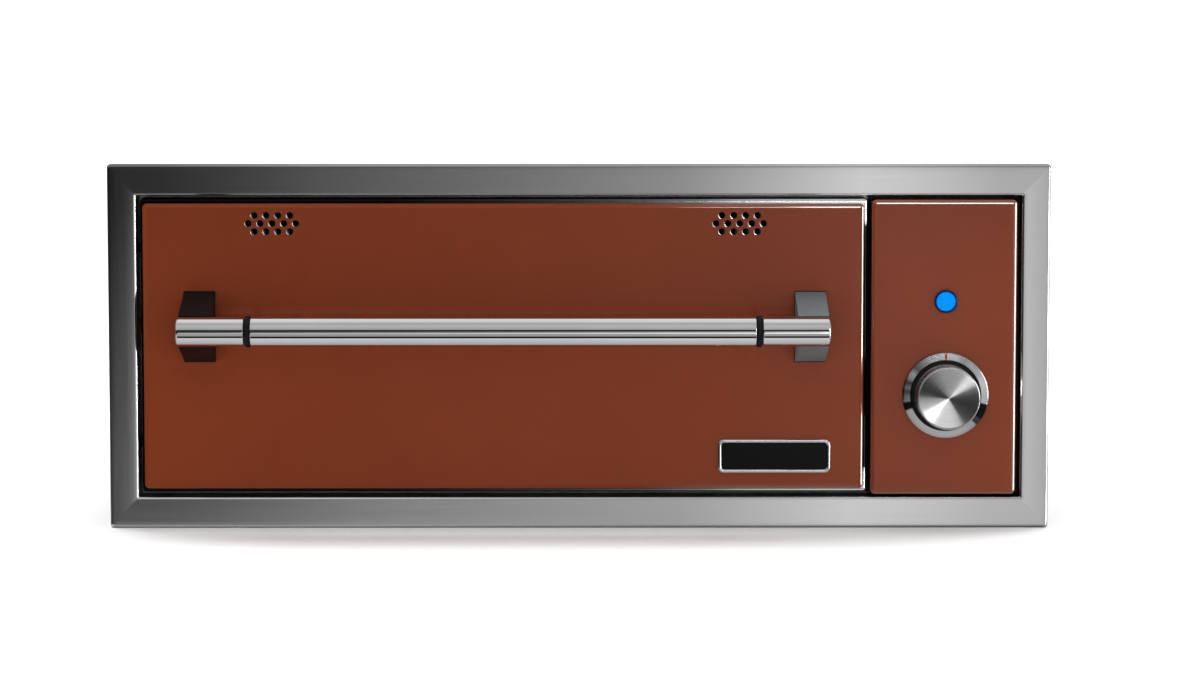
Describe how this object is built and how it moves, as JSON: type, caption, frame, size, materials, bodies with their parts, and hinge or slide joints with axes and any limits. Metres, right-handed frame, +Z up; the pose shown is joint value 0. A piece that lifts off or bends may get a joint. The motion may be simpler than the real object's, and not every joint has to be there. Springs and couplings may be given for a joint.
{
  "type": "built-in warming drawer",
  "caption": "Built-in warming drawer with a painted front, bar handle, side control panel, and a heated cavity with lift-out pan and rack.",
  "frame": {"origin": "centre of the cabinet cut-out, in the plane of the cabinet's face, where the back of the trim frame rests", "axes": "+X to the right as seen from the front, +Y into the cabinet (the drawer opens towards -Y), +Z up"},
  "size_m": [0.762, 0.6401, 0.2954],
  "materials": {
    "paint": "gloss",
    "brushed_steel": "brushed",
    "polished_steel": "polished",
    "dark_cast": "satin",
    "black_rubber": "satin",
    "black_enamel": "gloss",
    "galvanised": "galvanised",
    "liner_steel": "satin",
    "mineral_wool": "matt",
    "gasket": "matt",
    "element_sheath": "heat tinted",
    "ceramic": "glazed",
    "black_plastic": "satin",
    "blue_lens": "clear gloss",
    "brass": "satin",
    "wire_cover": "matt"
  },
  "bodies": {
    "housing": {"trim_frame": "brushed_steel", "trim_screw_1": "liner_steel", "trim_screw_2": "liner_steel", "trim_screw_3": "liner_steel", "trim_screw_4": "liner_steel", "outer_shell": "galvanised", "top_cover": "galvanised", "rear_cover": "galvanised", "cord_bushing": "black_plastic", "control_partition": "galvanised", "cavity_liner": "liner_steel", "insulation_wrap": "mineral_wool", "insulation_rear": "mineral_wool", "heating_element": "element_sheath", "element_bracket_front": "liner_steel", "element_bracket_left": "liner_steel", "element_guard": "liner_steel", "slide_outer_left": "galvanised", "slide_outer_right": "galvanised", "control_panel": "paint", "control_bracket": "galvanised", "knob_bezel": "polished_steel", "pilot_lamp_bezel": "black_plastic", "pilot_lamp_lens": "blue_lens", "pilot_lamp_body": "black_plastic", "thermostat_body": "ceramic", "sensor_bulb": "brass", "sensor_clip": "liner_steel", "over_temperature_limiter": "black_plastic", "terminal_block": "ceramic", "wiring_loom": "wire_cover", "lamp_lead": "wire_cover"},
    "drawer": {"drawer_front_panel": "paint", "drawer_front_liner": "liner_steel", "drawer_front_insulation": "mineral_wool", "drawer_gasket": "gasket", "handle_bar": "polished_steel", "handle_ring_left": "black_rubber", "handle_ring_right": "black_rubber", "handle_ferrule_left": "polished_steel", "handle_ferrule_right": "polished_steel", "handle_post_left": "dark_cast", "handle_post_right": "dark_cast", "handle_screw_left": "liner_steel", "handle_screw_right": "liner_steel", "badge_rim": "polished_steel", "badge_plate": "black_enamel", "drawer_frame": "liner_steel", "slide_inner_left": "galvanised", "slide_inner_right": "galvanised"},
    "slide_member_left": {"slide_middle_left": "galvanised"},
    "slide_member_right": {"slide_middle_right": "galvanised"},
    "vent": {"vent_slider": "liner_steel"},
    "pan": {"drawer_pan": "liner_steel"},
    "rack": {"wire_rack": "polished_steel", "rack_leg_left": "polished_steel", "rack_leg_right": "polished_steel"},
    "knob": {"thermostat_shaft": "liner_steel", "knob_body": "brushed_steel", "knob_face": "brushed_steel"}
  },
  "joints": [
    {"name": "drawer_slide", "type": "slide", "parent": "housing", "child": "drawer", "axis": [0, -1, 0], "range_m": [0, 0.47]},
    {"name": "slide_left_travel", "type": "slide", "parent": "housing", "child": "slide_member_left", "axis": [0, -1, 0], "range_m": [0, 0.235]},
    {"name": "slide_right_travel", "type": "slide", "parent": "housing", "child": "slide_member_right", "axis": [0, -1, 0], "range_m": [0, 0.235]},
    {"name": "vent_slide", "type": "slide", "parent": "drawer", "child": "vent", "axis": [1, 0, 0], "range_m": [0, 0.0048]},
    {"name": "pan_lift", "type": "slide", "parent": "drawer", "child": "pan", "axis": [0, 0, 1], "range_m": [0, 0.03]},
    {"name": "rack_lift", "type": "slide", "parent": "pan", "child": "rack", "axis": [0, 0, 1], "range_m": [0, 0.09]},
    {"name": "knob_turn", "type": "hinge", "parent": "housing", "child": "knob", "pos_m": [0.2967, -0.03, -0.0392], "axis": [0, 1, 0], "range_deg": [0, 270]}
  ],
  "couplings": [
    {"joint": "slide_left_travel", "follows": "drawer_slide", "ratio": 0.5},
    {"joint": "slide_right_travel", "follows": "drawer_slide", "ratio": 0.5}
  ]
}
